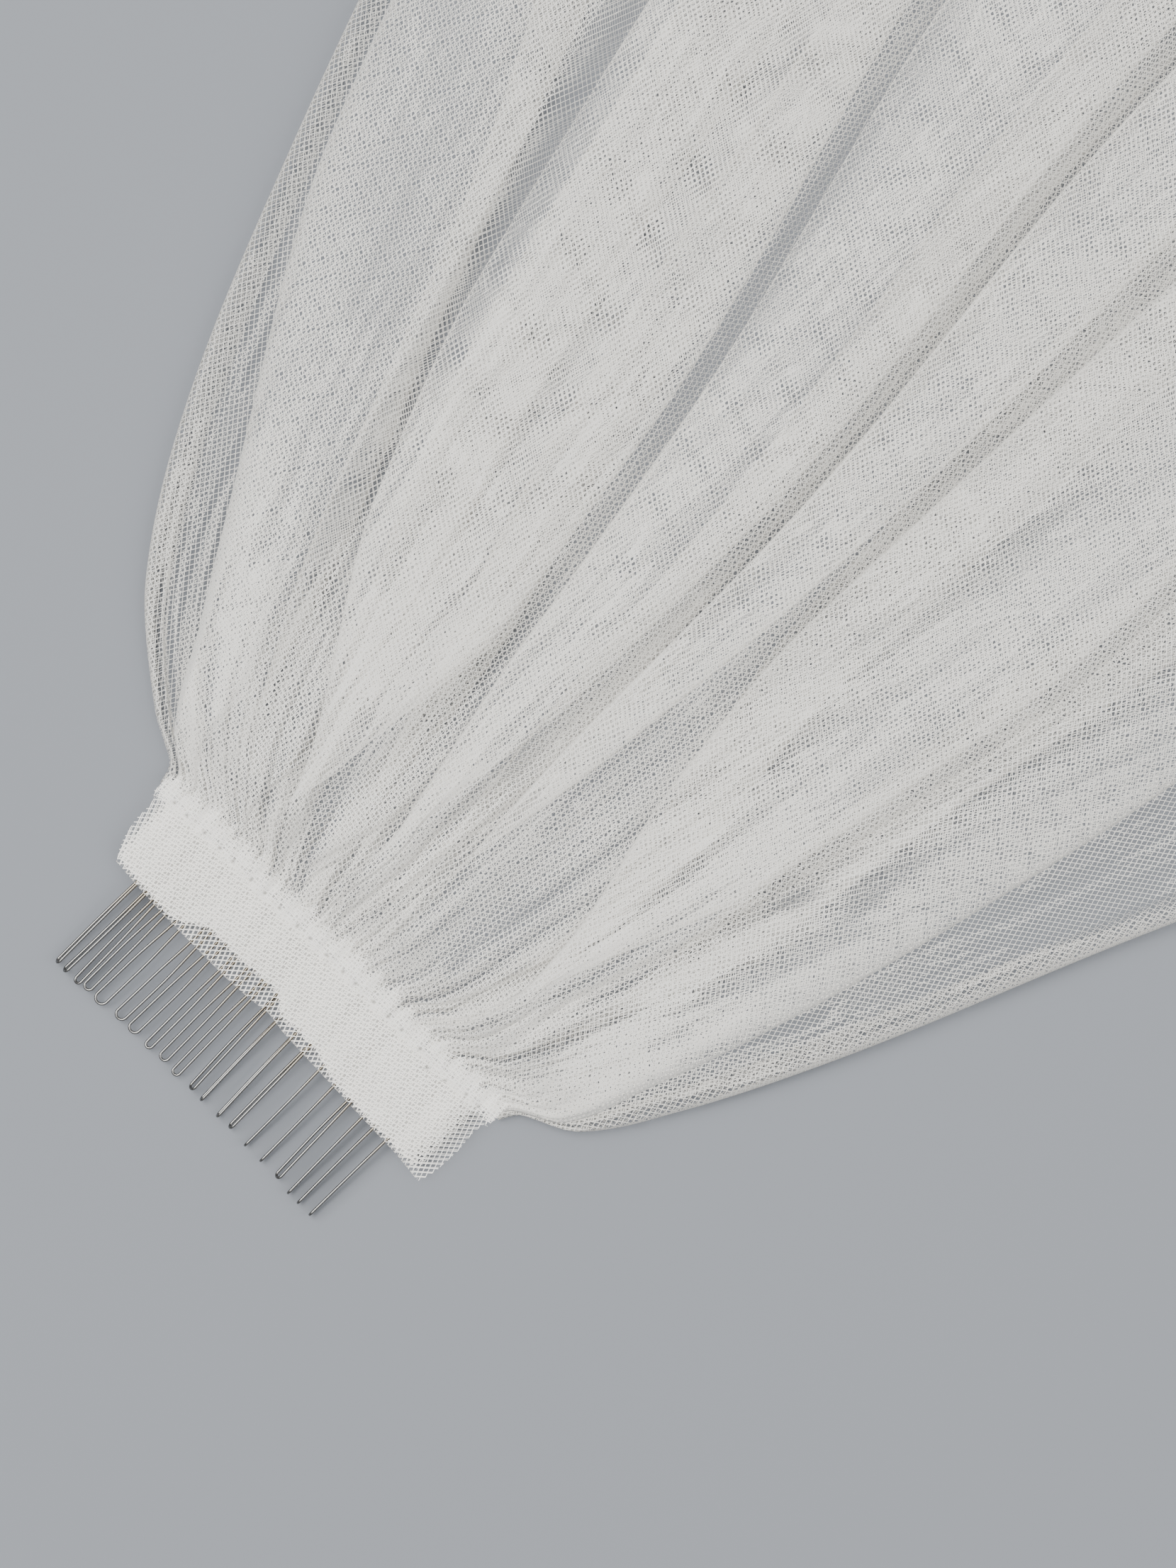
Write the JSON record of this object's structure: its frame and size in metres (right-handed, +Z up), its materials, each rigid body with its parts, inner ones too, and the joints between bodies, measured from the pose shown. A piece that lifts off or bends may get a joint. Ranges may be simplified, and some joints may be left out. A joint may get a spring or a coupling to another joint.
{
  "type": "two-tier bridal veil on a wire hair comb, laid flat",
  "caption": "Bridal veil of soft tulle, gathered in two tiers into a wrapped wire hair comb and spread out flat in long soft folds.",
  "frame": {"origin": "on the surface the veil lies on, under the middle of the comb's tulle wrap", "axes": "+Y from the comb's teeth towards the hem, +X along the comb, +Z up from the surface"},
  "size_m": [0.6749, 0.792, 0.0345],
  "materials": {
    "tulle": "soft off-white diamond net, matt",
    "tulle_wrap": "several layers of off-white tulle, nearly opaque",
    "comb_wire": "bright silver-plated round wire"
  },
  "bodies": {
    "root": {"comb_spine": "comb_wire", "tooth_01": "comb_wire", "tooth_02": "comb_wire", "tooth_03": "comb_wire", "tooth_04": "comb_wire", "tooth_05": "comb_wire", "tooth_06": "comb_wire", "tooth_07": "comb_wire", "tooth_08": "comb_wire", "tooth_09": "comb_wire", "tooth_10": "comb_wire", "tooth_11": "comb_wire", "tooth_12": "comb_wire", "tooth_13": "comb_wire", "tooth_14": "comb_wire", "tooth_15": "comb_wire", "tooth_16": "comb_wire", "tooth_17": "comb_wire", "tooth_18": "comb_wire", "tooth_19": "comb_wire", "tooth_20": "comb_wire", "comb_wrap": "tulle_wrap", "gather_heading": "tulle_wrap", "tier_lower": "tulle", "tier_upper": "tulle"}
  },
  "joints": []
}
